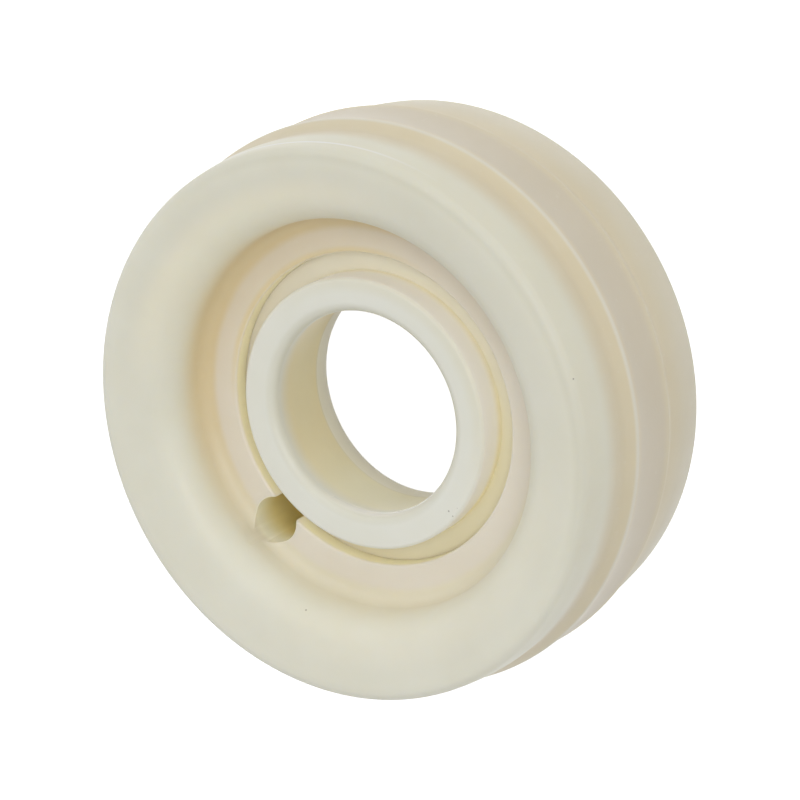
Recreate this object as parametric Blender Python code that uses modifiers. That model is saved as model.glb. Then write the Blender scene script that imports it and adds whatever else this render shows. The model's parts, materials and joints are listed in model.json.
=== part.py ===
# Idler pulley with a built-in ball bearing, moulded in natural plastic.
#
# Lengths are in metres. The pulley turns about Z and its front face looks up.
# The origin is on the axis, at half the width of the pulley, where the row of
# balls runs between the two rings. The balls go in through a filling hole in
# the floor of the front recess.
import math

import bmesh
import bpy
from mathutils import Matrix, Vector

MM = 0.001

# Ball row and the races round it
BALL_COUNT = 21
BALL_DIAMETER = 3.969 * MM
BALL_SPACING_GAP = 0.2042 * MM
RACE_CLEARANCE = 0.2 * MM
RACE_LIP = 1.0 * MM

# Bore of the inner ring, which stays still on its shaft
RACE_WALL = 1.3655 * MM
BORE_FLARE = 0.75 * MM
BORE_SEAM_DEPTH = 8.5 * MM
BORE_SEAM_STEP = 0.15 * MM
BORE_FRONT_LIP_RADIUS = 1.0 * MM
BORE_REAR_LIP_RADIUS = 1.6 * MM

# Inner ring: face width, edges and the shoulder that hides the balls
INNER_RING_WIDTH = 11.4 * MM
INNER_FRONT_STEP = 1.58 * MM
INNER_EDGE_RADIUS = 0.4 * MM
SHOULDER_WIDTH = 5.4 * MM
SHOULDER_CLEARANCE = 0.08 * MM

# Pulley ring, which turns: hub, recess and rounded rim
HUB_WIDTH = 8.74 * MM
HUB_EDGE_RADIUS = 0.25 * MM
RECESS_FLOOR = 3.8 * MM
RECESS_FILLET_RADIUS = 1.3 * MM
RIM_INNER_RADIUS = 3.5 * MM
RIM_FACE_REACH = 6.0 * MM
RIM_FACE_ANGLE = 14.4
RIM_OUTER_RADIUS = 1.0 * MM
RIM_TAPER_ANGLE = 7.0
PULLEY_WIDTH = 21.7 * MM

# Running surface: a shallow groove beside each flange, and a band between two ridges
FLANGE_REACH = 1.7 * MM
FLANGE_SPACING = 15.8 * MM
FLANGE_ROUNDING = 9.0 * MM
GROOVE_DEPTH = 0.15 * MM
GROOVE_SPACING = 9.0 * MM
GROOVE_ROUNDING = 1.8 * MM
RIDGE_HEIGHT = 0.7 * MM
RIDGE_SPACING = 5.7 * MM
RIDGE_TIP_RADIUS = 0.8 * MM
BAND_HOLLOW_DEPTH = 0.25 * MM

# Filling hole for the balls
HOLE_CLEARANCE = 0.531 * MM
HOLE_OFFSET = 2.6 * MM
HOLE_ANGLE = -139.6

# Smoothness of the turned shapes
PULLEY_STEPS = 56
INNER_STEPS = 44
HOLE_SIDES = 24
BALL_SUBDIVISIONS = 2
SHARP_ANGLE = 32.0

# Radii that follow from the sizes above, starting from the full row of balls
BALL_RADIUS = BALL_DIAMETER / 2
RACE_RADIUS = BALL_RADIUS + RACE_CLEARANCE
PITCH_RADIUS = (BALL_DIAMETER + BALL_SPACING_GAP) / (2 * math.sin(math.pi / BALL_COUNT))
BORE_REAR_RADIUS = PITCH_RADIUS - RACE_RADIUS - RACE_WALL
BORE_RADIUS = BORE_REAR_RADIUS - BORE_FLARE
INNER_RING_RADIUS = PITCH_RADIUS - RACE_LIP
HUB_BORE_RADIUS = PITCH_RADIUS + RACE_LIP
SHOULDER_RADIUS = HUB_BORE_RADIUS - SHOULDER_CLEARANCE
RECESS_RADIUS = HUB_BORE_RADIUS + RECESS_FLOOR
CROWN_RADIUS = RECESS_RADIUS + RIM_FACE_REACH
FLANGE_RADIUS = CROWN_RADIUS + FLANGE_REACH
GROOVE_RADIUS = FLANGE_RADIUS - GROOVE_DEPTH
RIDGE_RADIUS = FLANGE_RADIUS + RIDGE_HEIGHT
HOLE_RADIUS = (BALL_DIAMETER + HOLE_CLEARANCE) / 2
HOLE_PITCH_RADIUS = PITCH_RADIUS + HOLE_OFFSET


def arc(centre_r, centre_z, radius, start, end, steps):
    """Points (r, z) on an arc, with its angles in degrees from +r towards +z."""
    points = []
    for i in range(steps + 1):
        angle = math.radians(start + (end - start) * i / steps)
        points.append((centre_r + radius * math.cos(angle), centre_z + radius * math.sin(angle)))
    return points


def rounded(corners):
    """Outline through corners (r, z, rounding, steps), with each corner rounded by an arc."""
    points = []
    for i, (r, z, rounding, steps) in enumerate(corners):
        if rounding == 0:
            points.append((r, z))
            continue
        corner = Vector((r, z))
        back = (Vector(corners[i - 1][:2]) - corner).normalized()
        ahead = (Vector(corners[i + 1][:2]) - corner).normalized()
        half_angle = back.angle(ahead) / 2
        centre = corner + (back + ahead).normalized() * rounding / math.sin(half_angle)
        start = corner + back * rounding / math.tan(half_angle) - centre
        turn = start.angle_signed(corner + ahead * rounding / math.tan(half_angle) - centre)
        for k in range(steps + 1):
            point = centre + Matrix.Rotation(-turn * k / steps, 2) @ start
            points.append((point.x, point.y))
    return points


def inner_ring_profile():
    """Closed section of the inner ring: outside from top to bottom, then up the bore."""
    front = HUB_WIDTH / 2 + INNER_FRONT_STEP
    rear = front - INNER_RING_WIDTH
    outside = INNER_RING_RADIUS
    edge = INNER_EDGE_RADIUS
    shoulder = SHOULDER_WIDTH / 2
    mouth = math.degrees(math.acos((SHOULDER_RADIUS - PITCH_RADIUS) / RACE_RADIUS))

    points = arc(outside - edge, front - edge, edge, 90, 0, 2)
    points += [(outside, shoulder), (SHOULDER_RADIUS, shoulder)]
    points += arc(PITCH_RADIUS, 0, RACE_RADIUS, mouth, 360 - mouth, 8)
    points += [(SHOULDER_RADIUS, -shoulder), (outside, -shoulder)]
    points += arc(outside - edge, rear + edge, edge, 0, -90, 2)

    rear_bore = BORE_REAR_RADIUS
    rear_lip = BORE_REAR_LIP_RADIUS
    seam = front - BORE_SEAM_DEPTH
    front_lip = BORE_FRONT_LIP_RADIUS
    points += arc(rear_bore + rear_lip, rear + rear_lip, rear_lip, 270, 180, 3)
    points += [(rear_bore, seam), (rear_bore + BORE_SEAM_STEP, seam + BORE_SEAM_STEP)]
    points += arc(BORE_RADIUS + front_lip, front - front_lip, front_lip, 180, 90, 3)
    return points


def pulley_half_profile():
    """Front half of the pulley's section, open at the middle: up the inside, down the outside."""
    floor = HUB_WIDTH / 2
    bore = HUB_BORE_RADIUS
    race_end = math.degrees(math.acos((bore - PITCH_RADIUS) / RACE_RADIUS))
    race = arc(PITCH_RADIUS, 0, RACE_RADIUS, 0, race_end, 3)

    top = PULLEY_WIDTH / 2
    face_fall = RIM_FACE_REACH * math.tan(math.radians(RIM_FACE_ANGLE))
    flange_z = FLANGE_SPACING / 2
    taper = (top - flange_z) * math.tan(math.radians(RIM_TAPER_ANGLE))
    groove_z = GROOVE_SPACING / 2
    ridge_z = RIDGE_SPACING / 2
    flank = math.degrees(math.atan2(RIDGE_RADIUS - GROOVE_RADIUS, groove_z - ridge_z))
    tip = RIDGE_TIP_RADIUS
    ridge = arc(RIDGE_RADIUS - tip, ridge_z, tip, flank, -band_slope(ridge_z), 3)

    corners = [
        (*race[-1], 0, 0),
        (bore, floor, HUB_EDGE_RADIUS, 1),
        (RECESS_RADIUS, floor, RECESS_FILLET_RADIUS, 4),
        (RECESS_RADIUS, top - face_fall, RIM_INNER_RADIUS, 5),
        (CROWN_RADIUS, top, 0, 0),
        (FLANGE_RADIUS - taper, top, RIM_OUTER_RADIUS, 4),
        (FLANGE_RADIUS, flange_z, FLANGE_ROUNDING, 2),
        (GROOVE_RADIUS, groove_z, GROOVE_ROUNDING, 2),
        (*ridge[0], 0, 0),
    ]
    return race[:-1] + rounded(corners) + ridge[1:] + hollow_band(*ridge[-1], 3)


def band_slope(half_width):
    """Slope in degrees of the hollow band where it meets a ridge."""
    return math.degrees(math.atan(2 * BAND_HOLLOW_DEPTH / half_width))


def hollow_band(edge_r, edge_z, steps):
    """Shallow curve from a ridge to the middle of the band."""
    points = []
    for i in range(1, steps + 1):
        share = 1 - i / steps
        drop = BAND_HOLLOW_DEPTH * (1 - share * share)
        points.append((edge_r - drop, edge_z * share))
    return points


def new_collection(name):
    collection = bpy.data.collections.new(name)
    bpy.context.scene.collection.children.link(collection)
    return collection


def new_material(name, colour, roughness, metallic):
    material = bpy.data.materials.new(name)
    material.use_nodes = True
    shader = material.node_tree.nodes["Principled BSDF"]
    shader.inputs["Base Color"].default_value = (*colour, 1.0)
    shader.inputs["Roughness"].default_value = roughness
    shader.inputs["Metallic"].default_value = metallic
    return material


def turned_piece(name, profile, closed, steps, collection, material):
    """Turn a section of (r, z) points about Z into a ring."""
    mesh = bpy.data.meshes.new(name)
    section = bmesh.new()
    corners = [section.verts.new((r, 0, z)) for r, z in profile]
    for first, second in zip(corners, corners[1:]):
        section.edges.new((first, second))
    if closed:
        section.edges.new((corners[-1], corners[0]))
    section.to_mesh(mesh)
    section.free()
    mesh.materials.append(material)

    piece = bpy.data.objects.new(name, mesh)
    collection.objects.link(piece)
    screw = piece.modifiers.new("Turn", "SCREW")
    screw.axis = "Z"
    screw.steps = steps
    screw.render_steps = steps
    screw.use_merge_vertices = True
    screw.merge_threshold = 0.00001
    return piece


def cut_filling_hole(piece, cutters):
    """Blind hole from the front recess down to the underside of the ball row."""
    bottom = -RACE_RADIUS
    top = PULLEY_WIDTH
    angle = math.radians(HOLE_ANGLE)

    mesh = bpy.data.meshes.new("filling_hole")
    drill = bmesh.new()
    bmesh.ops.create_cone(
        drill,
        cap_ends=True,
        segments=HOLE_SIDES,
        radius1=HOLE_RADIUS,
        radius2=HOLE_RADIUS,
        depth=top - bottom,
    )
    drill.to_mesh(mesh)
    drill.free()
    cutter = bpy.data.objects.new("filling_hole", mesh)
    x = HOLE_PITCH_RADIUS * math.cos(angle)
    y = HOLE_PITCH_RADIUS * math.sin(angle)
    cutter.location = (x, y, (top + bottom) / 2)
    cutter.hide_render = True
    cutter.display_type = "WIRE"
    cutters.objects.link(cutter)

    cut = piece.modifiers.new("Filling hole", "BOOLEAN")
    cut.operation = "DIFFERENCE"
    cut.solver = "EXACT"
    cut.object = cutter


def shade_smooth_with_edges(piece):
    """Bake the turned surface and shade it smooth, with its real edges kept sharp."""
    evaluated = piece.evaluated_get(bpy.context.evaluated_depsgraph_get())
    mesh = bpy.data.meshes.new_from_object(evaluated)
    piece.modifiers.clear()
    piece.data = mesh
    mesh.name = piece.name
    mesh.shade_smooth()
    mesh.set_sharp_from_angle(angle=math.radians(SHARP_ANGLE))


def add_balls(collection, material):
    """Full row of equal balls on the pitch circle, a small gap apart."""
    mesh = bpy.data.meshes.new("ball")
    ball = bmesh.new()
    bmesh.ops.create_icosphere(ball, subdivisions=BALL_SUBDIVISIONS, radius=BALL_RADIUS)
    ball.to_mesh(mesh)
    ball.free()
    mesh.shade_smooth()
    mesh.materials.append(material)

    axis = bpy.data.objects.new("ball_row_axis", None)
    collection.objects.link(axis)
    for i in range(BALL_COUNT):
        angle = 2 * math.pi * i / BALL_COUNT
        piece = bpy.data.objects.new(f"ball_{i + 1:02d}", mesh)
        piece.location = (PITCH_RADIUS * math.cos(angle), PITCH_RADIUS * math.sin(angle), 0)
        piece.rotation_euler = (0, 0, angle)
        piece.parent = axis
        collection.objects.link(piece)


def build():
    for old in list(bpy.data.objects):
        bpy.data.objects.remove(old, do_unlink=True)
    parts = new_collection("idler_pulley")
    cutters = new_collection("cutters")

    inner_plastic = new_material("inner_ring_plastic", (0.68, 0.66, 0.55), 0.35, 0.0)
    inner_ring = turned_piece(
        "inner_ring", inner_ring_profile(), True, INNER_STEPS, parts, inner_plastic
    )

    pulley_plastic = new_material("pulley_plastic", (0.70, 0.67, 0.54), 0.32, 0.0)
    pulley_ring = turned_piece(
        "pulley_ring", pulley_half_profile(), False, PULLEY_STEPS, parts, pulley_plastic
    )
    mirror = pulley_ring.modifiers.new("Rear half", "MIRROR")
    mirror.use_axis = (False, False, True)
    mirror.merge_threshold = 0.00001
    cut_filling_hole(pulley_ring, cutters)

    ball_steel = new_material("ball_steel", (0.55, 0.56, 0.58), 0.15, 1.0)
    add_balls(parts, ball_steel)

    shade_smooth_with_edges(inner_ring)
    shade_smooth_with_edges(pulley_ring)


build()
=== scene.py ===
import bpy
import bmesh
import json
import math
from mathutils import Matrix, Vector

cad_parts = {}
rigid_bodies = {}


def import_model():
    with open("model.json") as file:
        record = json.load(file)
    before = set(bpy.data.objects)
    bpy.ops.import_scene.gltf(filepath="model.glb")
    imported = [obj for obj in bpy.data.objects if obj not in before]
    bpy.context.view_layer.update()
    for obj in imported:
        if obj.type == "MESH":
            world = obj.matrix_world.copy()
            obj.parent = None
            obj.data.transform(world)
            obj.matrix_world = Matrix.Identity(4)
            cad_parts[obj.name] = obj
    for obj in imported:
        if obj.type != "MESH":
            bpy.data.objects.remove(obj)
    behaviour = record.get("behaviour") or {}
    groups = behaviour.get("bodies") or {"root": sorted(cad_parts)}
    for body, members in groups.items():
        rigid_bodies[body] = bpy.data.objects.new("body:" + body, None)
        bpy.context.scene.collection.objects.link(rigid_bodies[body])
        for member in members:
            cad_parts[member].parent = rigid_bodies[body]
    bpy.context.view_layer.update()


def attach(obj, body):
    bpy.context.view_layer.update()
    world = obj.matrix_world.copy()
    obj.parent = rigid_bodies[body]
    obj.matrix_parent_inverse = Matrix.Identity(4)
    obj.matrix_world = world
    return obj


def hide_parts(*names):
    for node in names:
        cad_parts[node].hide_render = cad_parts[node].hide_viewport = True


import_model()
mm = 0.001

# Idler pulley moulded in milky plastic: two rings on a full row of balls.
# Outlines, zones and specks below are in millimetres.

ballRow = {
    "count": 21,
    "ballDiameter": 3.969,
    "pitchR": 14.0,
    "raceClearance": 0.2,
}
raceR = ballRow["ballDiameter"] / 2 + ballRow["raceClearance"]


# Shared helpers

def arcPoints(centreR, centreZ, radius, start, end, steps):
    points = []
    for i in range(steps + 1):
        angle = math.radians(start + (end - start) * i / steps)
        points.append((centreR + radius * math.cos(angle), centreZ + radius * math.sin(angle)))
    return points


def roundedOutline(corners):
    # corners are (r, z, rounding, steps), and rounding 0 keeps the corner as it is
    points = []
    for i, (r, z, rounding, steps) in enumerate(corners):
        if rounding == 0:
            points.append((r, z))
            continue
        corner = Vector((r, z))
        back = (Vector(corners[i - 1][:2]) - corner).normalized()
        ahead = (Vector(corners[i + 1][:2]) - corner).normalized()
        half = back.angle(ahead) / 2
        centre = corner + (back + ahead).normalized() * rounding / math.sin(half)
        start = corner + back * rounding / math.tan(half) - centre
        turn = start.angle_signed(corner + ahead * rounding / math.tan(half) - centre)
        for k in range(steps + 1):
            point = centre + Matrix.Rotation(-turn * k / steps, 2) @ start
            points.append((point.x, point.y))
    return points


def turnedMesh(name, outline, steps):
    # a closed outline in millimetres becomes a ring of quads about Z
    bm = bmesh.new()
    rows = []
    for s in range(steps):
        angle = 2 * math.pi * s / steps
        c, w = math.cos(angle) * mm, math.sin(angle) * mm
        rows.append([bm.verts.new((r * c, r * w, z * mm)) for r, z in outline])
    for s in range(steps):
        here, there = rows[s], rows[(s + 1) % steps]
        for k in range(len(outline)):
            n = (k + 1) % len(outline)
            bm.faces.new((here[k], here[n], there[n], there[k]))
    bmesh.ops.recalc_face_normals(bm, faces=bm.faces)
    mesh = bpy.data.meshes.new(name)
    bm.to_mesh(mesh)
    bm.free()
    obj = bpy.data.objects.new(name, mesh)
    bpy.context.scene.collection.objects.link(obj)
    return obj


def bakeAndSmooth(obj, sharpAngle):
    evaluated = obj.evaluated_get(bpy.context.evaluated_depsgraph_get())
    mesh = bpy.data.meshes.new_from_object(evaluated)
    obj.modifiers.clear()
    obj.data = mesh
    mesh.name = obj.name
    mesh.shade_smooth()
    mesh.set_sharp_from_angle(angle=math.radians(sharpAngle))


def newMaterial(name):
    material = bpy.data.materials.new(name)
    material.use_nodes = True
    return material, material.node_tree, material.node_tree.nodes["Principled BSDF"]


def newGroup(name, inputs, outputs):
    # inputs and outputs give each socket's name and kind
    group = bpy.data.node_groups.new(name, "ShaderNodeTree")
    for label, kind in inputs.items():
        group.interface.new_socket(label, in_out="INPUT", socket_type="NodeSocket" + kind)
    for label, kind in outputs.items():
        group.interface.new_socket(label, in_out="OUTPUT", socket_type="NodeSocket" + kind)
    return group, group.nodes.new("NodeGroupInput"), group.nodes.new("NodeGroupOutput")


def groupNode(tree, group, **values):
    node = tree.nodes.new("ShaderNodeGroup")
    node.node_tree = group
    for name, value in values.items():
        if isinstance(value, (int, float, tuple)):
            node.inputs[name].default_value = value
        else:
            tree.links.new(value, node.inputs[name])
    return node


def mathNode(tree, operation, first, second=None, third=None):
    node = tree.nodes.new("ShaderNodeMath")
    node.operation = operation
    for socket, value in zip(node.inputs, (first, second, third)):
        if isinstance(value, (int, float)):
            socket.default_value = value
        elif value is not None:
            tree.links.new(value, socket)
    return node.outputs[0]


def overlap(tree, first, *others):
    # where all of the masks hold
    for other in others:
        first = mathNode(tree, "MULTIPLY", first, other)
    return first


def rangeNode(tree, value, fromMin, fromMax, toMin=0.0, toMax=1.0):
    # smooth step from one value to another
    node = tree.nodes.new("ShaderNodeMapRange")
    node.interpolation_type = "SMOOTHSTEP"
    tree.links.new(value, node.inputs["Value"])
    node.inputs["From Min"].default_value = fromMin
    node.inputs["From Max"].default_value = fromMax
    node.inputs["To Min"].default_value = toMin
    node.inputs["To Max"].default_value = toMax
    return node.outputs["Result"]


def mixColour(tree, factor, first, second, blend="MIX"):
    # a Mix node has its colour sockets at 6 and 7, and its colour result at 2
    node = tree.nodes.new("ShaderNodeMix")
    node.data_type = "RGBA"
    node.blend_type = blend
    for index, value in ((0, factor), (6, first), (7, second)):
        if isinstance(value, (int, float)):
            node.inputs[index].default_value = value
        elif isinstance(value, tuple):
            node.inputs[index].default_value = (*value, 1.0)
        else:
            tree.links.new(value, node.inputs[index])
    return node.outputs[2]


def noiseNode(tree, vector, scale, detail, roughness):
    node = tree.nodes.new("ShaderNodeTexNoise")
    node.inputs["Scale"].default_value = scale
    node.inputs["Detail"].default_value = detail
    node.inputs["Roughness"].default_value = roughness
    tree.links.new(vector, node.inputs["Vector"])
    return node.outputs["Fac"]


def addBump(tree, shader, height, strength, depth):
    bump = tree.nodes.new("ShaderNodeBump")
    bump.inputs["Strength"].default_value = strength
    bump.inputs["Distance"].default_value = depth * mm
    tree.links.new(height, bump.inputs["Height"])
    tree.links.new(bump.outputs["Normal"], shader.inputs["Normal"])


# Node group: radius from the axis, height and place across a ring, in millimetres

def makeRingPlaceGroup():
    group, source, target = newGroup(
        "ringPlace",
        {"Vector": "Vector"},
        {"Radius": "Float", "Height": "Float", "Side X": "Float", "Side Y": "Float"},
    )
    split = group.nodes.new("ShaderNodeSeparateXYZ")
    group.links.new(source.outputs["Vector"], split.inputs[0])
    x, y, z = [mathNode(group, "DIVIDE", side, mm) for side in split.outputs]
    squares = mathNode(group, "ADD", mathNode(group, "MULTIPLY", x, x),
                       mathNode(group, "MULTIPLY", y, y))
    group.links.new(mathNode(group, "SQRT", squares), target.inputs["Radius"])
    group.links.new(z, target.inputs["Height"])
    group.links.new(x, target.inputs["Side X"])
    group.links.new(y, target.inputs["Side Y"])
    return group


# Node group: milky plastic, with clouding, faint flecks and fine moulding marks

milky = {
    "clouds": (110.0, 3.0, 0.6),  # noise scale, detail and roughness
    "cloudDark": (0.93, 0.91, 0.86),
    "cloudPale": (1.07, 1.08, 1.13),
    "flecks": (1400.0, 2.0, 0.6),
    "fleckRange": (0.62, 0.78, 0.0, 0.10),
    "fleckTone": (0.92, 0.90, 0.84),
    "wear": (320.0, 4.0, 0.65),
    "wearSpread": 0.16,
    "peel": (420.0, 2.0, 0.5),
    "fine": (2600.0, 3.0, 0.6),
    "fineShare": 0.35,
    "bumpStrength": 0.25,
    "bumpDepth": 0.08,
    "refraction": 1.5,
}


def makeMilkyGroup():
    group, source, target = newGroup(
        "milkyPlastic",
        {"Vector": "Vector", "Tone": "Color", "Clouding": "Float", "Roughness": "Float",
         "Grain": "Float"},
        {"Base Color": "Color", "Roughness": "Float", "Height": "Float"},
    )
    where = source.outputs["Vector"]

    clouds = noiseNode(group, where, *milky["clouds"])
    shade = mathNode(group, "MULTIPLY_ADD", clouds, 2.0, -1.0)
    shade = mathNode(group, "MULTIPLY_ADD", shade, source.outputs["Clouding"], 0.5)
    cloudTone = mixColour(group, shade, milky["cloudDark"], milky["cloudPale"])
    toned = mixColour(group, 1.0, source.outputs["Tone"], cloudTone, "MULTIPLY")
    flecks = noiseNode(group, where, *milky["flecks"])
    toned = mixColour(group, rangeNode(group, flecks, *milky["fleckRange"]),
                      toned, milky["fleckTone"])
    group.links.new(toned, target.inputs["Base Color"])

    wear = noiseNode(group, where, *milky["wear"])
    wear = mathNode(group, "MULTIPLY_ADD", wear, milky["wearSpread"], -milky["wearSpread"] / 2)
    group.links.new(mathNode(group, "ADD", source.outputs["Roughness"], wear),
                    target.inputs["Roughness"])

    fine = noiseNode(group, where, *milky["fine"])
    peel = noiseNode(group, where, *milky["peel"])
    both = mathNode(group, "MULTIPLY_ADD", fine, milky["fineShare"], peel)
    group.links.new(mathNode(group, "MULTIPLY", both, source.outputs["Grain"]),
                    target.inputs["Height"])
    return group


# Node group: one small dark speck in the moulding

speckTone = (0.16, 0.11, 0.06)
speckCore = 0.45


def makeSpeckGroup():
    group, source, target = newGroup(
        "mouldSpeck",
        {"Vector": "Vector", "Base Color": "Color", "Place": "Vector", "Size": "Float",
         "Depth": "Float"},
        {"Base Color": "Color"},
    )
    gap = group.nodes.new("ShaderNodeVectorMath")
    gap.operation = "DISTANCE"
    group.links.new(source.outputs["Vector"], gap.inputs[0])
    group.links.new(source.outputs["Place"], gap.inputs[1])
    share = mathNode(group, "DIVIDE", gap.outputs["Value"], source.outputs["Size"])
    # full inside its core, and gone at its edge
    spot = rangeNode(group, share, speckCore, 1.0, 1.0, 0.0)
    spot = overlap(group, spot, source.outputs["Depth"])
    group.links.new(mixColour(group, spot, source.outputs["Base Color"], speckTone),
                    target.inputs["Base Color"])
    return group


ringPlace = makeRingPlaceGroup()
milkyPlastic = makeMilkyGroup()
mouldSpeck = makeSpeckGroup()


def ringCoordinates(tree):
    place = tree.nodes.new("ShaderNodeTexCoord").outputs["Object"]
    return place, groupNode(tree, ringPlace, Vector=place)


# X and Y of the way across the rings, up and a little left as the camera sees it, towards the
# stronger light: the painted shade and light on both rings change along it
leanX, leanY = -0.45, 0.89


def leanAlong(tree, where):
    x = mathNode(tree, "MULTIPLY", where.outputs["Side X"], leanX)
    return mathNode(tree, "MULTIPLY_ADD", where.outputs["Side Y"], leanY, x)


def finishPlastic(tree, shader, place, tone, spec, roughness):
    surface = groupNode(tree, milkyPlastic, Vector=place, Tone=tone, Roughness=roughness,
                        Clouding=spec["clouding"], Grain=spec["grain"])
    colour = surface.outputs["Base Color"]
    for spot, size, depth in spec["specks"]:
        speck = groupNode(tree, mouldSpeck, Vector=place, Size=size * mm, Depth=depth,
                          Place=tuple(v * mm for v in spot))
        tree.links.new(colour, speck.inputs["Base Color"])
        colour = speck.outputs["Base Color"]
    tree.links.new(colour, shader.inputs["Base Color"])
    tree.links.new(surface.outputs["Roughness"], shader.inputs["Roughness"])
    addBump(tree, shader, surface.outputs["Height"], milky["bumpStrength"], milky["bumpDepth"])
    # light goes a little way into the plastic
    shader.subsurface_method = "RANDOM_WALK"
    shader.inputs["Subsurface Weight"].default_value = spec["scatter"]
    shader.inputs["Subsurface Radius"].default_value = spec["scatterReach"]
    shader.inputs["Subsurface Scale"].default_value = spec["scatterDepth"] * mm
    shader.inputs["IOR"].default_value = milky["refraction"]
    shader.inputs["Specular IOR Level"].default_value = spec["gloss"]


# Pulley ring: the outside, the recesses on both sides and the outer race

pulley = {
    "tone": (0.845, 0.835, 0.715),
    # the tones from here to the parting tone are painted shade, painted light and painted
    # highlights on the plastic
    "warm": (0.82, 0.69, 0.425),
    "gap": (1.0, 0.91, 0.65),
    "hole": (1.0, 0.84, 0.40),
    "holeTop": (1.0, 0.94, 0.74),
    "slope": (0.94, 0.90, 0.73),
    "rose": (0.85, 0.795, 0.70),
    "corner": (0.77, 0.76, 0.645),
    "side": (0.84, 0.825, 0.685),
    "groove": (0.785, 0.705, 0.515),
    "band": (0.735, 0.665, 0.525),
    "rear": (0.775, 0.72, 0.57),
    "crest": (0.84, 0.82, 0.74),
    "parting": (0.92, 0.92, 0.87),
    "clouding": 0.30,
    "roughness": 0.42,
    "grain": 1.0,
    "gloss": 0.4,
    "scatter": 0.6,
    "scatterReach": (1.0, 0.92, 0.75),
    "scatterDepth": 1.8,
    "specks": [  # place, size and depth of tone
        ((25.66, 4.57, 10.36), 0.13, 0.75),
        ((-7.59, -18.14, 8.9), 0.11, 0.6),
    ],
    "topZ": 10.85,
    "holeR": 2.25,
    "holePitchR": 16.6,
    "holeAngle": -139.6,
    "cutLength": 25,
    "steps": 240,
    "holeSteps": 72,
    "sharpAngle": 32,
}

# Where each tone starts and where it is full, by radius (R), height (Z) or place
# across the ring. Two more numbers are the tone's strengths there, otherwise 0 and 1.
pulleyZones = {
    "recessR": (20.8, 18.4),
    "wallZ": (8.8, 4.9),
    "wallLean": (-8.0, 14.0, 0.3, 1.0),
    "slopeR": (24.0, 21.6),
    "slopeUpper": (11.0, 21.0, 0.0, 0.9),
    "slopeLower": (-9.0, -18.0, 0.0, 0.3),
    "floorR": (17.9, 17.0),
    "floorZ": (5.2, 4.5),
    "floorLean": (8.0, 17.0, 0.8, 0.6),
    "gapR": (19.6, 18.9),
    "gapZ": (4.36, 3.9),
    "edgeR": (15.8, 15.2),
    "edgeLean": (6.0, 14.0, 0.0, 0.9),
    "edgeZ": (4.27, 4.36),
    "holeSquare": (5.6, 5.1),
    "holeUpperZ": (5.0, 4.1),
    "holeLowerZ": (-2.6, -2.2),
    "holeTopZ": (0.8, 4.2),
    "cornerR": (24.6, 25.6),
    "cornerFacing": (0.0, 24.0),
    "outsideR": (25.9, 26.42),
    "rearZ": (-3.0, -4.2),
    "grooveZ": (8.0, 4.8),
    "bandZ": (3.2, 1.8),
    "crestR": (27.02, 27.18, 0.0, 0.6),
    "crestZ": (2.6, 3.0),
    "partingLowerZ": (9.05, 9.17),
    "partingUpperZ": (9.45, 9.33),
    "partingY": (17.0, 23.5),
    "partingX": (16.0, 3.0),
    "partingR": (26.0, 26.1),
}


def pulleyOutline():
    # front half from the race to the band's middle, then its mirror image
    floor, bore, recess, crown, top = 4.37, 15.0, 18.8, 24.8, pulley["topZ"]
    pitch = ballRow["pitchR"]
    raceEnd = math.degrees(math.acos((bore - pitch) / raceR))
    race = arcPoints(pitch, 0, raceR, 0, raceEnd, 12)
    faceAngle, taperAngle = 14.4, 7.0
    faceFall = (crown - recess) * math.tan(math.radians(faceAngle))
    flange, flangeZ = 26.5, 7.9
    taper = (top - flangeZ) * math.tan(math.radians(taperAngle))
    groove, grooveZ, ridgeR, ridgeZ, tip, hollow = 26.35, 4.5, 27.2, 2.85, 0.8, 0.25
    flank = math.degrees(math.atan2(ridgeR - groove, grooveZ - ridgeZ))
    bandSlope = math.degrees(math.atan(2 * hollow / ridgeZ))
    ridge = arcPoints(ridgeR - tip, ridgeZ, tip, flank, -bandSlope, 8)
    kinkR, kinkZ = 26.335, 9.27  # the rim's corner is not quite round
    corners = [
        (*race[-1], 0, 0),
        (bore, floor, 0.25, 5),
        (recess, floor, 1.3, 12),
        (recess, top - faceFall, 3.5, 16),
        (crown, top, 0, 0),
        (flange - taper, top, 0.9, 12),
        (kinkR, kinkZ, 0, 0),
        (flange, flangeZ, 9.0, 8),
        (groove, grooveZ, 1.8, 8),
        (*ridge[0], 0, 0),
    ]
    half = race[:-1] + roundedOutline(corners) + ridge[1:]
    edgeR, edgeZ = ridge[-1]
    bandSteps = 10
    for i in range(1, bandSteps + 1):
        share = 1 - i / bandSteps
        half.append((edgeR - hollow * (1 - share * share), edgeZ * share))
    return half + [(r, -z) for r, z in reversed(half[1:-1])]


def cutFillingHole(obj):
    cutter = bpy.data.objects.new("holeCutter", bpy.data.meshes.new("holeCutter"))
    bm = bmesh.new()
    depth, holeR = pulley["cutLength"] * mm, pulley["holeR"] * mm
    bmesh.ops.create_cone(bm, cap_ends=True, segments=pulley["holeSteps"],
                          radius1=holeR, radius2=holeR, depth=depth)
    bm.to_mesh(cutter.data)
    bm.free()
    angle = math.radians(pulley["holeAngle"])
    pitch = pulley["holePitchR"] * mm
    # it ends level with the underside of the race
    cutter.location = (pitch * math.cos(angle), pitch * math.sin(angle), depth / 2 - raceR * mm)
    bpy.context.scene.collection.objects.link(cutter)
    cut = obj.modifiers.new("hole", "BOOLEAN")
    cut.operation = "DIFFERENCE"
    cut.solver = "EXACT"
    cut.object = cutter
    bakeAndSmooth(obj, pulley["sharpAngle"])
    bpy.data.objects.remove(cutter, do_unlink=True)


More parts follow.
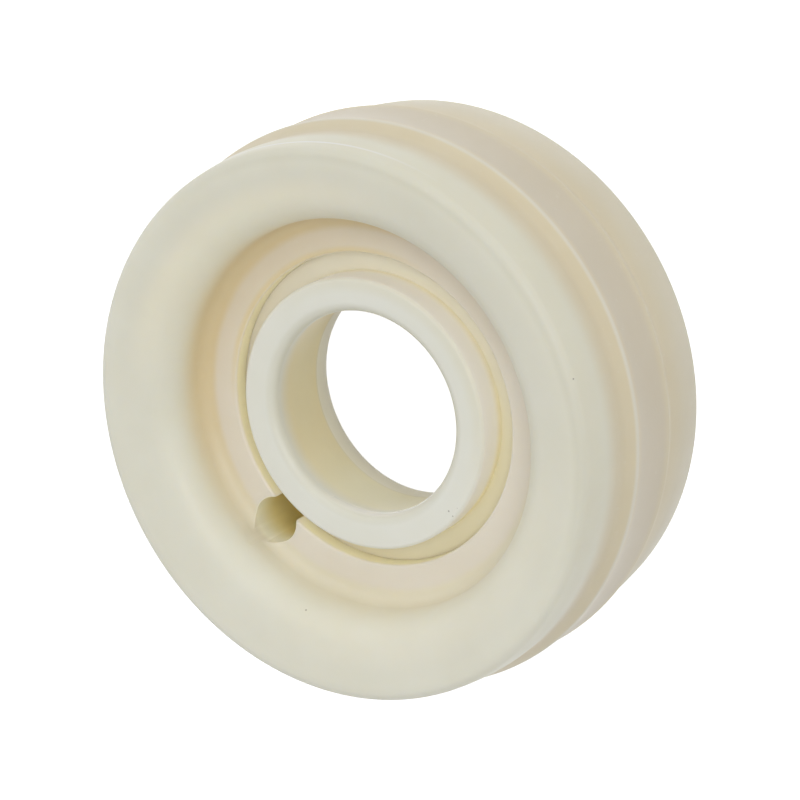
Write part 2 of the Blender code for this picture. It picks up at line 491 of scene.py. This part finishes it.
def holeDistance(tree, where):
    # square of the distance from the filling hole's own axis
    angle = math.radians(pulley["holeAngle"])
    middle = (pulley["holePitchR"] * math.cos(angle), pulley["holePitchR"] * math.sin(angle))
    squares = []
    for side, value in zip(("Side X", "Side Y"), middle):
        away = mathNode(tree, "SUBTRACT", where.outputs[side], value)
        squares.append(mathNode(tree, "POWER", away, 2.0))
    return mathNode(tree, "ADD", *squares)


def makePulleyMaterial():
    material, tree, shader = newMaterial("pulleyMilky")
    place, where = ringCoordinates(tree)
    radius, height = where.outputs["Radius"], where.outputs["Height"]
    sideX, sideY = where.outputs["Side X"], where.outputs["Side Y"]
    upDown = mathNode(tree, "ABSOLUTE", height)
    along = leanAlong(tree, where)

    def zone(value, name):
        return rangeNode(tree, value, *pulleyZones[name])

    # recess, painted light and shade that vary across the ring: paler on the sloping face, warm
    # painted shade in the fillet and up the wall, rosy painted shade on the floor
    slope = mathNode(tree, "ADD", zone(along, "slopeUpper"), zone(along, "slopeLower"))
    slope = overlap(tree, zone(radius, "slopeR"), slope)
    colour = mixColour(tree, slope, pulley["tone"], pulley["slope"])
    wall = overlap(tree, zone(radius, "recessR"), zone(upDown, "wallZ"), zone(along, "wallLean"))
    colour = mixColour(tree, wall, colour, pulley["warm"])
    floor = overlap(tree, zone(radius, "floorR"), zone(upDown, "floorZ"), zone(along, "floorLean"))
    colour = mixColour(tree, floor, colour, pulley["rose"])
    # painted glow and shade deep in the gap, pale and yellow, and in the filling hole, golden deep
    # down and paler near its top
    gap = overlap(tree, zone(radius, "gapR"), zone(upDown, "gapZ"))
    colour = mixColour(tree, gap, colour, pulley["gap"])
    # painted shade: the hub's edge at the floor is warmer on one side
    edge = overlap(tree, zone(radius, "edgeR"), zone(along, "edgeLean"), zone(height, "edgeZ"))
    colour = mixColour(tree, edge, colour, pulley["warm"])
    hole = overlap(tree, zone(holeDistance(tree, where), "holeSquare"),
                   zone(height, "holeUpperZ"), zone(height, "holeLowerZ"))
    holeTone = mixColour(tree, zone(height, "holeTopZ"), pulley["hole"], pulley["holeTop"])
    colour = mixColour(tree, hole, colour, holeTone)
    # running surface, painted shade and highlight: a darker corner on one side, a darker, yellower
    # outside and rear, yellow painted shade in the grooves, a darker band, and a pale painted
    # highlight on the crest of the front ridge
    facing = mathNode(tree, "ADD", sideX, sideY)
    corner = overlap(tree, zone(radius, "cornerR"), zone(facing, "cornerFacing"))
    colour = mixColour(tree, corner, colour, pulley["corner"])
    outside = zone(radius, "outsideR")
    colour = mixColour(tree, outside, colour, pulley["side"])
    colour = mixColour(tree, overlap(tree, zone(height, "rearZ"), outside), colour, pulley["rear"])
    groove = overlap(tree, zone(upDown, "grooveZ"), outside)
    colour = mixColour(tree, groove, colour, pulley["groove"])
    band = overlap(tree, zone(upDown, "bandZ"), outside)
    colour = mixColour(tree, band, colour, pulley["band"])
    crest = overlap(tree, zone(radius, "crestR"), zone(height, "crestZ"))
    colour = mixColour(tree, crest, colour, pulley["crest"])
    # a painted highlight: a pale line along the parting line on one side of the rim
    partingHighlight = overlap(tree, zone(height, "partingLowerZ"), zone(height, "partingUpperZ"),
                     zone(sideY, "partingY"), zone(sideX, "partingX"), zone(radius, "partingR"))
    colour = mixColour(tree, partingHighlight, colour, pulley["parting"])
    finishPlastic(tree, shader, place, colour, pulley, pulley["roughness"])
    return material


pulleyRing = turnedMesh("pulleyRing", pulleyOutline(), pulley["steps"])
cutFillingHole(pulleyRing)
pulleyRing.data.materials.append(makePulleyMaterial())
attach(pulleyRing, "pulley")
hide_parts("pulley_ring")
print("pulley ring", len(pulleyRing.data.polygons))


# Inner ring: the still ring on the shaft, with the shoulders that hide the balls

inner = {
    "tone": (0.88, 0.885, 0.80),
    # the tones from here to gapBelow are painted shade, painted light, a painted reflection and a
    # painted highlight on the plastic
    "bore": (0.97, 0.855, 0.57),
    "boreBelow": (0.99, 0.93, 0.70),
    "lip": (0.82, 0.82, 0.72),
    "lipGlintTone": (0.97, 0.96, 0.88),
    "faceEdge": (0.84, 0.83, 0.71),
    "band": (0.96, 0.915, 0.77),
    "ledge": (0.80, 0.74, 0.56),
    "wall": (1.0, 0.99, 0.96),
    "gap": (0.98, 0.915, 0.74),
    "gapBelow": (0.97, 0.88, 0.62),
    "clouding": 0.25,
    "roughness": 0.38,
    "lipRoughness": 0.14,
    "grain": 0.8,
    "gloss": 0.42,
    "scatter": 0.5,
    "scatterReach": (1.0, 0.96, 0.88),
    "scatterDepth": 1.2,
    "specks": [  # place, size and depth of tone
        ((7.94, -9.09, 5.93), 0.12, 0.5),
        ((8.29, -9.56, 5.9), 0.10, 0.6),
        ((8.9, -8.8, 5.9), 0.09, 0.4),
        ((-12.93, -1.0, 5.65), 0.12, 0.5),
    ],
    "steps": 200,
    "sharpAngle": 40,
}

innerZones = {
    "boreR": (11.3, 10.6),
    "boreZ": (5.3, 2.8),
    "boreLean": (-8.0, 2.0),
    "lipR": (10.8, 10.3),
    "lipZ": (4.9, 5.3),
    "faceR": (11.3, 12.6),
    "faceFacing": (0.0, 13.0),
    "bandZ": (-2.4, -2.7),
    "ledgeZ": (-2.60, -2.54),
    "wallR": (12.65, 12.9),
    "wallZ": (5.9, 5.5),
    "gapZ": (3.9, 2.8),
    "gapLean": (-12.0, 0.0),
    "lipGlintR": (9.95, 9.80),
    "lipGlintZ": (4.55, 4.85),
    "lipGlintLean": (-3.0, -7.5),
}


def innerOutline():
    front, rear, outside, edge = 5.95, -5.45, 13.0, 0.4
    shoulderR, shoulderZ = 14.995, 2.7
    boreR, rearBoreR, frontLip, rearLip = 9.7, 10.45, 1.0, 1.6
    seamZ = front - 8.5
    stepR, stepZ = 0.08, 0.15
    pitch = ballRow["pitchR"]
    mouth = math.degrees(math.acos((shoulderR - pitch) / raceR))
    points = arcPoints(outside - edge, front - edge, edge, 90, 0, 8)
    points += [(outside, shoulderZ), (shoulderR, shoulderZ)]
    points += arcPoints(pitch, 0, raceR, mouth, 360 - mouth, 28)
    points += [(shoulderR, -shoulderZ), (outside, -shoulderZ)]
    points += arcPoints(outside - edge, rear + edge, edge, 0, -90, 8)
    points += arcPoints(rearBoreR + rearLip, rear + rearLip, rearLip, 270, 180, 12)
    points += [(rearBoreR, seamZ), (rearBoreR + stepR, seamZ + stepZ)]
    points += arcPoints(boreR + frontLip, front - frontLip, frontLip, 180, 90, 14)
    return points


def makeInnerMaterial():
    material, tree, shader = newMaterial("innerMilky")
    place, where = ringCoordinates(tree)
    radius, height = where.outputs["Radius"], where.outputs["Height"]
    along = leanAlong(tree, where)

    def zone(value, name):
        return rangeNode(tree, value, *innerZones[name])

    # painted shade: the rounding of the front lip is darker
    lip = overlap(tree, zone(radius, "lipR"), zone(height, "lipZ"))
    colour = mixColour(tree, lip, inner["tone"], inner["lip"])
    # painted shade: the outer edge of the face is darker on one side
    facing = mathNode(tree, "ADD", where.outputs["Side X"], where.outputs["Side Y"])
    face = overlap(tree, zone(radius, "faceR"), zone(facing, "faceFacing"))
    colour = mixColour(tree, face, colour, inner["faceEdge"])
    # painted shade and light in the bore: yellow inside, paler on the side away from the stronger
    # light
    inBore = overlap(tree, zone(radius, "boreR"), zone(height, "boreZ"))
    bore = mixColour(tree, zone(along, "boreLean"), inner["boreBelow"], inner["bore"])
    colour = mixColour(tree, inBore, colour, bore)
    # painted reflection: a paler band near the rear end of the bore
    band = overlap(tree, inBore, zone(height, "bandZ"))
    colour = mixColour(tree, band, colour, inner["band"])
    # painted shade on the ledge at the seam in the bore
    ledge = overlap(tree, band, zone(height, "ledgeZ"))
    colour = mixColour(tree, ledge, colour, inner["ledge"])
    # painted light and shade on the outside: pale next to the face, turning yellow towards the
    # shoulder, more so on one side
    wall = overlap(tree, zone(radius, "wallR"), zone(height, "wallZ"))
    colour = mixColour(tree, wall, colour, inner["wall"])
    gap = mixColour(tree, zone(along, "gapLean"), inner["gapBelow"], inner["gap"])
    colour = mixColour(tree, overlap(tree, wall, zone(height, "gapZ")), colour, gap)
    # painted highlight: the inner end of the front lip is paler and smoother on one side
    lipGlint = overlap(tree, zone(radius, "lipGlintR"), zone(height, "lipGlintZ"),
                     zone(along, "lipGlintLean"))
    colour = mixColour(tree, lipGlint, colour, inner["lipGlintTone"])
    roughness = mathNode(tree, "MULTIPLY_ADD", lipGlint,
                         inner["lipRoughness"] - inner["roughness"], inner["roughness"])
    finishPlastic(tree, shader, place, colour, inner, roughness)
    return material


innerRing = turnedMesh("innerRing", innerOutline(), inner["steps"])
bakeAndSmooth(innerRing, inner["sharpAngle"])
innerRing.data.materials.append(makeInnerMaterial())
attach(innerRing, "inner_race")
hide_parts("inner_ring")
print("inner ring", len(innerRing.data.polygons))


# Balls: polished steel with a trace of rolling marks

balls = {
    "tone": (0.56, 0.57, 0.59),
    "markTone": (0.68, 0.68, 0.69),
    "marks": (1900.0, 4.0, 0.7),
    "roughness": 0.14,
    "roughSpread": 0.14,
    "bumpStrength": 0.1,
    "bumpDepth": 0.02,
}


def makeBallMaterial():
    material, tree, shader = newMaterial("ballSteel")
    place = tree.nodes.new("ShaderNodeTexCoord").outputs["Object"]
    marks = noiseNode(tree, place, *balls["marks"])
    tree.links.new(mixColour(tree, marks, balls["tone"], balls["markTone"]),
                   shader.inputs["Base Color"])
    rough = mathNode(tree, "MULTIPLY_ADD", marks, balls["roughSpread"],
                     balls["roughness"] - balls["roughSpread"] / 2)
    tree.links.new(rough, shader.inputs["Roughness"])
    shader.inputs["Metallic"].default_value = 1.0
    addBump(tree, shader, marks, balls["bumpStrength"], balls["bumpDepth"])
    return material


ballSteel = makeBallMaterial()
for i in range(1, ballRow["count"] + 1):
    ball = bpy.data.objects[f"ball_{i:02d}"]
    for slot in ball.material_slots:
        slot.material = ballSteel
print("balls dressed")


# Camera at the photograph's angle, with its own right, up and backward directions.
# The photograph shows the pulley tilted and here it lies flat, so the camera is rolled.

right = Vector((0.83839, -0.14652, -0.52501))
up = Vector((0.0, 0.96320, -0.26880))
toCamera = Vector((0.54507, 0.22536, 0.80753))
cameraPlace = (0.17834, 0.07333, 0.26353)

cameraData = bpy.data.cameras.new("photoCamera")
cameraData.sensor_width = 36
cameraData.lens = 157.5
cameraData.clip_start = 0.01
camera = bpy.data.objects.new("photoCamera", cameraData)
axes = Matrix((right, up, toCamera)).transposed().to_4x4()
camera.matrix_world = Matrix.Translation(cameraPlace) @ axes
bpy.context.scene.collection.objects.link(camera)
bpy.context.scene.camera = camera


# Floor, backdrop and soft studio light

studio = {
    "floorTone": (0.68, 0.68, 0.68),
    "weaveTone": (0.72, 0.72, 0.72),
    "weave": (600.0, 2.0, 0.5),
    "floorReach": 2.0,
    "floorGlow": 0.9,
    "fillLevel": 0.5,
    "fillLean": 0.2,
}

lamps = {
    "frontLamp": {
        "way": right * 0.08 + toCamera,
        "distance": 0.8,
        "size": 0.4,
        "power": 1.5,
        "tone": (1.0, 0.995, 0.98),
    },
    "keyLamp": {
        "way": right * -0.5 + up * 0.6 + toCamera * 0.75,
        "distance": 0.8,
        "size": 0.8,
        "power": 0.9,
        "tone": (1.0, 0.99, 0.97),
    },
}


def whereSeen(tree):
    # 1 for the camera and in reflections, 0 for the light that falls on the object
    path = tree.nodes.new("ShaderNodeLightPath")
    seen = mathNode(tree, "MAXIMUM", path.outputs["Is Camera Ray"], path.outputs["Is Glossy Ray"])
    return mathNode(tree, "MAXIMUM", seen, path.outputs["Is Transmission Ray"])


def makeFloor():
    mesh = bpy.data.meshes.new("studioFloor")
    reach, low = studio["floorReach"], -pulley["topZ"] * mm
    corners = [(-reach, -reach), (reach, -reach), (reach, reach), (-reach, reach)]
    mesh.from_pydata([(x, y, low) for x, y in corners], [], [(0, 1, 2, 3)])
    floor = bpy.data.objects.new("studioFloor", mesh)
    bpy.context.scene.collection.objects.link(floor)
    material, tree, shader = newMaterial("floorPaper")
    shader.inputs["Roughness"].default_value = 0.9
    place = tree.nodes.new("ShaderNodeTexCoord").outputs["Object"]
    weave = noiseNode(tree, place, *studio["weave"])
    tree.links.new(mixColour(tree, weave, studio["floorTone"], studio["weaveTone"]),
                   shader.inputs["Base Color"])
    # white for the eye, while its shadow and its tone stay
    glow = tree.nodes.new("ShaderNodeEmission")
    tree.links.new(mathNode(tree, "MULTIPLY", whereSeen(tree), studio["floorGlow"]),
                   glow.inputs["Strength"])
    add = tree.nodes.new("ShaderNodeAddShader")
    tree.links.new(shader.outputs[0], add.inputs[0])
    tree.links.new(glow.outputs[0], add.inputs[1])
    tree.links.new(add.outputs[0], tree.nodes["Material Output"].inputs["Surface"])
    mesh.materials.append(material)


def makeWorld():
    world = bpy.data.worlds.new("studioWorld")
    bpy.context.scene.world = world
    world.use_nodes = True
    tree = world.node_tree
    background = tree.nodes["Background"]
    background.inputs["Color"].default_value = (1, 1, 1, 1)
    # the soft fill is stronger from the upper left of the picture
    lean = tree.nodes.new("ShaderNodeVectorMath")
    lean.operation = "DOT_PRODUCT"
    tree.links.new(tree.nodes.new("ShaderNodeTexCoord").outputs["Generated"], lean.inputs[0])
    lean.inputs[1].default_value = (up - right).normalized() * studio["fillLean"]
    level = studio["fillLevel"]
    fill = mathNode(tree, "MULTIPLY_ADD", lean.outputs["Value"], level, level)
    mixed = tree.nodes.new("ShaderNodeMix")
    tree.links.new(whereSeen(tree), mixed.inputs["Factor"])
    tree.links.new(fill, mixed.inputs["A"])
    mixed.inputs["B"].default_value = 1.0
    tree.links.new(mixed.outputs["Result"], background.inputs["Strength"])


def makeLamp(name, spec):
    data = bpy.data.lights.new(name, "AREA")
    data.shape = "DISK"
    data.size = spec["size"]
    data.energy = spec["power"]
    data.color = spec["tone"]
    lamp = bpy.data.objects.new(name, data)
    lamp.location = spec["way"].normalized() * spec["distance"]
    lamp.rotation_euler = spec["way"].to_track_quat("Z", "Y").to_euler()
    bpy.context.scene.collection.objects.link(lamp)


makeFloor()
makeWorld()
for name, spec in lamps.items():
    makeLamp(name, spec)
bpy.context.scene.view_settings.view_transform = "Standard"
print("studio ready")
